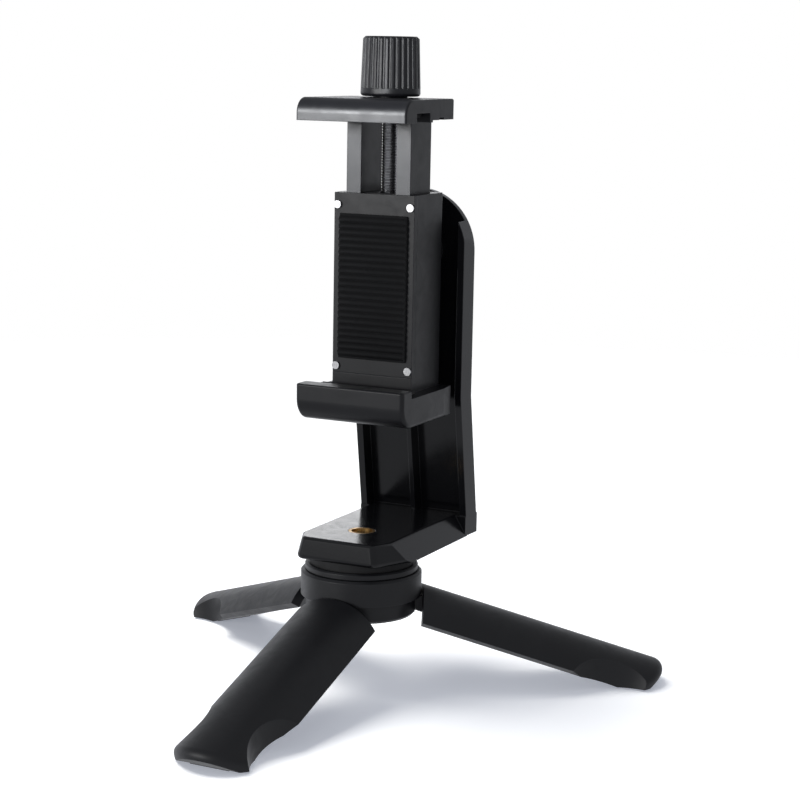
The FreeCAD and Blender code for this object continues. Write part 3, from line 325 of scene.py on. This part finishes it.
def make_world(front, overhead, behind, ground):
    """Surroundings that look plain white. Their light is brightest low down behind and to the left."""
    world = bpy.data.worlds.new("world")
    bpy.context.scene.world = world
    world.use_nodes = True
    tree = world.node_tree
    tree.nodes.clear()
    output = tree.nodes.new("ShaderNodeOutputWorld")
    direction = add(tree, "TexCoord").outputs["Generated"]
    height = add(tree, "SeparateXYZ", Vector=direction).outputs["Z"]
    towards_bright = dot_product(tree, direction, direction_at(-0.35, 0.94, 0))
    bright_side = remap(tree, towards_bright, (0.1, 0.85), (0, behind - front))
    low_down = remap(tree, height, (0.12, 0.5), (1, 0))
    base = remap(tree, height, (0.1, 0.6), (front, overhead))
    sky = math_node(tree, "ADD", base, math_node(tree, "MULTIPLY", bright_side, low_down))
    below = remap(tree, height, (-0.02, 0.0), (1, 0))
    strength = math_node(tree, "MAXIMUM", sky, math_node(tree, "MULTIPLY", below, ground))
    glow = add(tree, "Background", Strength=strength, Color=COOL_SKY)
    seen = add(tree, "Background", Strength=1.0, Color=(*WHITE, 1))
    to_camera = add(tree, "LightPath").outputs["Is Camera Ray"]
    tree.links.new(mix_shaders(tree, to_camera, glow, seen), output.inputs["Surface"])


def make_softbox(name, towards, distance, size, power, colour=WHITE, only=None):
    """An area light that looks at the object from the given direction, and may light some objects only."""
    data = bpy.data.lights.new(name, "AREA")
    data.shape = "RECTANGLE"
    data.size, data.size_y = size
    data.energy = power
    data.color = colour
    light = bpy.data.objects.new(name, data)
    bpy.context.scene.collection.objects.link(light)
    centre = (cad_low + cad_high) / 2
    light.location = centre + towards.normalized() * distance
    light.rotation_mode = "QUATERNION"
    light.rotation_quaternion = towards.to_track_quat("Z", "Y")
    light.visible_camera = False
    if only is not None:
        receivers = bpy.data.collections.new(name + "_receivers")
        for piece in only:
            receivers.objects.link(piece)
        light.light_linking.receiver_collection = receivers


floor = make_floor()
make_world(front=0.33, overhead=0.33, behind=1.0, ground=0.45)
all_but_bracket = [floor] + [piece for name, piece in NODES.items() if name != "bracket"]
make_softbox("horizon_behind", direction_at(-0.12, 0.99, 0.17),
             distance=1.3, size=(0.5, 0.16), power=0.45)
make_softbox("strip_front_left", direction_at(-0.80, -0.60, 0.14),
             distance=1.0, size=(0.50, 0.18), power=3.2, only=all_but_bracket)
make_softbox("bracket_panel", direction_at(-0.80, -0.60, 0.16),
             distance=1.0, size=(0.90, 0.35), power=0.55, only=[NODES["bracket"]])
make_softbox("jaw_panel", direction_at(-0.80, -0.60, 0.42),
             distance=0.35, size=(0.20, 0.10), power=2.0, colour=COOL, only=[NODES["upper_jaw"]])
make_softbox("knob_panel", direction_at(-0.35, -0.93, 0.25),
             distance=0.35, size=(0.16, 0.16), power=0.85, colour=COOL,
             only=[NODES["knob"], NODES["knob_washer"]])
make_softbox("floor_key", direction_at(-0.45, 0.35, 1.0),
             distance=1.0, size=(0.7, 0.7), power=14, colour=WARM, only=[floor])
bpy.context.scene.view_settings.view_transform = "Standard"

# ---------------------------------------------------------------- carried-over nodes

JOIN_DISTANCE = 2e-6
SHARP_ANGLE = math.radians(25)
FLAT_ANGLE = math.radians(0.3)
LOOK_NODES = {
    "tripod_plastic": ("hub_drum", "hub_base_cap", "swivel_disc"),
    "leg_plastic": ("leg_1", "leg_2", "leg_3"),
    "bracket_plastic": ("bracket",),
    "clamp_plastic": ("clip_body", "clip_cover", "upper_jaw"),
    "knob_plastic": ("knob", "knob_washer"),
    "pad_rubber": ("top_pad", "leg_foot_1", "leg_foot_2", "leg_foot_3",
                   "lower_pad", "back_pad", "upper_pad"),
    "steel": ("tripod_stud", "stud_nut", "stud_washer", "leg_pin_1", "leg_pin_2", "leg_pin_3",
              "pivot_bolt", "pivot_nut", "pivot_washer", "cover_screws", "clamp_screw", "retaining_ring"),
    "brass": ("brass_insert", "clamp_nut"),
}
FLAT_SIDED = ("bracket", "clip_body", "upper_jaw", "clip_cover")


def shade_group():
    """Nodes for a modifier that joins a mesh's split corners and shades it smooth up to the sharp angle."""
    group = bpy.data.node_groups.new("join_corners", "GeometryNodeTree")
    group.interface.new_socket("Geometry", in_out="INPUT", socket_type="NodeSocketGeometry")
    group.interface.new_socket("Geometry", in_out="OUTPUT", socket_type="NodeSocketGeometry")
    source = group.nodes.new("NodeGroupInput")
    merge = group.nodes.new("GeometryNodeMergeByDistance")
    merge.inputs["Distance"].default_value = JOIN_DISTANCE
    smooth = group.nodes.new("GeometryNodeSetShadeSmooth")
    angle = group.nodes.new("GeometryNodeInputMeshEdgeAngle")
    compare = group.nodes.new("FunctionNodeCompare")
    compare.data_type = "FLOAT"
    compare.operation = "GREATER_THAN"
    compare.inputs["B"].default_value = SHARP_ANGLE
    sharpen = group.nodes.new("GeometryNodeSetShadeSmooth")
    sharpen.domain = "EDGE"
    sharpen.inputs["Shade Smooth"].default_value = False
    target = group.nodes.new("NodeGroupOutput")
    group.links.new(source.outputs[0], merge.inputs["Geometry"])
    group.links.new(merge.outputs["Geometry"], smooth.inputs["Geometry"])
    group.links.new(smooth.outputs["Geometry"], sharpen.inputs["Geometry"])
    group.links.new(angle.outputs["Unsigned Angle"], compare.inputs["A"])
    group.links.new(compare.outputs["Result"], sharpen.inputs["Selection"])
    group.links.new(sharpen.outputs["Geometry"], target.inputs[0])
    return group


JOIN_CORNERS = shade_group()


def shade(piece, flat_sided):
    """Smooth shading from the node's own facets; on a flat-sided one the large faces set the normals."""
    join = piece.modifiers.new("join", "NODES")
    join.node_group = JOIN_CORNERS
    if not flat_sided:
        return
    flat = piece.modifiers.new("flat", "DECIMATE")
    flat.decimate_type = "DISSOLVE"
    flat.angle_limit = FLAT_ANGLE
    normals = piece.modifiers.new("normals", "WEIGHTED_NORMAL")
    normals.mode = "FACE_AREA"
    normals.weight = 50
    normals.keep_sharp = True


for look, names in LOOK_NODES.items():
    for name in names:
        NODES[name].data.materials.clear()
        NODES[name].data.materials.append(MATERIALS[look])
        shade(NODES[name], name in FLAT_SIDED)

# ---------------------------------------------------------------- threads and ribs

THREAD_SIDES = 32
# Half widths of the thread's ridge at its foot and its crest, as shares of the pitch.
RIDGE_FOOT = 0.42
RIDGE_CREST = 0.07
RIDGE_SINK = 0.0001
RIDGE_GAP = 0.00002
RIB_STEPS = 8
PAD_END_ROUND = 0.0003


def add_piece(name, node, body, look, points, faces, smooth_angle):
    """A mesh piece that stands for a CAD node and moves with its body. The smooth angle is in degrees."""
    mesh = bpy.data.meshes.new(name)
    mesh.from_pydata(points, [], faces)
    shaper = bmesh.new()
    shaper.from_mesh(mesh)
    bmesh.ops.recalc_face_normals(shaper, faces=shaper.faces)
    shaper.to_mesh(mesh)
    shaper.free()
    mesh.shade_smooth()
    mesh.set_sharp_from_angle(angle=math.radians(smooth_angle))
    mesh.materials.append(MATERIALS[look])
    piece = bpy.data.objects.new(name, mesh)
    bpy.context.scene.collection.objects.link(piece)
    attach(piece, body)
    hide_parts(node)


def add_loops(points, faces, loops):
    """Closed skin over a row of equal loops of points, with a cap on the first and the last."""
    start, count = len(points), len(loops[0])
    for loop in loops:
        points.extend(loop)
    for row in range(len(loops) - 1):
        for number in range(count):
            after = (number + 1) % count
            low = start + row * count
            faces.append((low + number, low + after, low + count + after, low + count + number))
    faces.append(tuple(range(start + count - 1, start - 1, -1)))
    last = start + (len(loops) - 1) * count
    faces.append(tuple(range(last, last + count)))


def threaded_rod(name, node, body, pitch, depth, chamfer):
    """A steel rod with a rolled screw thread: a core with tapered ends, and one ridge wound round it."""
    low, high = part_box(node)
    centre = (low + high) / 2
    crest = (high.x - low.x) / 2
    root = crest - depth
    points, faces = [], []

    def at(angle, radius, height):
        return centre.x + radius * math.cos(angle), centre.y + radius * math.sin(angle), height

    core = ((low.z, root - chamfer), (low.z + chamfer, root),
            (high.z - chamfer, root), (high.z, root - chamfer))
    add_loops(points, faces, [
        [at(2 * math.pi * side / THREAD_SIDES, radius, height) for side in range(THREAD_SIDES)]
        for height, radius in core
    ])
    first, last = low.z + chamfer + pitch, high.z - chamfer - pitch
    steps = int((last - first) / pitch * THREAD_SIDES)
    turns = []
    for step in range(steps + 1):
        angle = 2 * math.pi * step / THREAD_SIDES
        height = first + pitch * step / THREAD_SIDES
        run_out = min(1.0, step / THREAD_SIDES, (steps - step) / THREAD_SIDES)
        top = root + depth * run_out - RIDGE_GAP
        foot = root - RIDGE_SINK
        section = ((foot, -RIDGE_FOOT), (top, -RIDGE_CREST), (top, RIDGE_CREST), (foot, RIDGE_FOOT))
        turns.append([at(angle, radius, height + share * pitch) for radius, share in section])
    add_loops(points, faces, turns)
    add_piece(name, node, body, "steel", points, faces, 35)


def ribbed_pad(name, node, body, run, out, out_sign, pitch, depth):
    """A rubber pad with rounded ribs along X.

    The ribs repeat along the run axis and stand out along the out axis. An axis is 0, 1 or 2 for X, Y or Z.
    """
    low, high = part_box(node)
    start, end = low[run], high[run]
    base, face = (low[out], high[out]) if out_sign > 0 else (high[out], low[out])
    shoulder = face - out_sign * depth
    ribbed_length = end - start - 2 * depth
    ribs = max(1, round(ribbed_length / pitch))
    outline = [(start, base), (start, shoulder)]
    for step in range(ribs * RIB_STEPS + 1):
        share = step / (ribs * RIB_STEPS)
        crown = math.sqrt(0.5 - 0.5 * math.cos(2 * math.pi * ribs * share))
        outline.append((start + depth + ribbed_length * share, face - out_sign * depth * (1 - crown)))
    outline += [(end, shoulder), (end, base)]
    middle = sum(along for along, _ in outline) / len(outline)
    sections = ((low.x, PAD_END_ROUND), (low.x + PAD_END_ROUND, 0), (high.x - PAD_END_ROUND, 0),
                (high.x, PAD_END_ROUND))
    loops = []
    for across, shrink in sections:
        loop = []
        for along, height in outline:
            along -= math.copysign(shrink, along - middle)
            if height != base:
                height -= out_sign * shrink
            point = [across, 0, 0]
            point[run], point[out] = along, height
            loop.append(tuple(point))
        loops.append(loop)
    points, faces = [], []
    add_loops(points, faces, loops)
    add_piece(name, node, body, "pad_rubber", points, faces, 40)


threaded_rod("clamp_screw_thread", "clamp_screw", "knob_screw",
             pitch=0.0008, depth=0.00042, chamfer=0.0004)
threaded_rod("tripod_stud_thread", "tripod_stud", "bracket_head",
             pitch=0.00127, depth=0.00065, chamfer=0.0006)
ribbed_pad("back_pad_ribbed", "back_pad", "clamp", run=2, out=1, out_sign=-1, pitch=0.0019, depth=0.0006)
ribbed_pad("lower_pad_ribbed", "lower_pad", "clamp", run=1, out=2, out_sign=1, pitch=0.0012, depth=0.0005)
ribbed_pad("upper_pad_ribbed", "upper_pad", "jaw", run=1, out=2, out_sign=-1, pitch=0.0012, depth=0.0005)
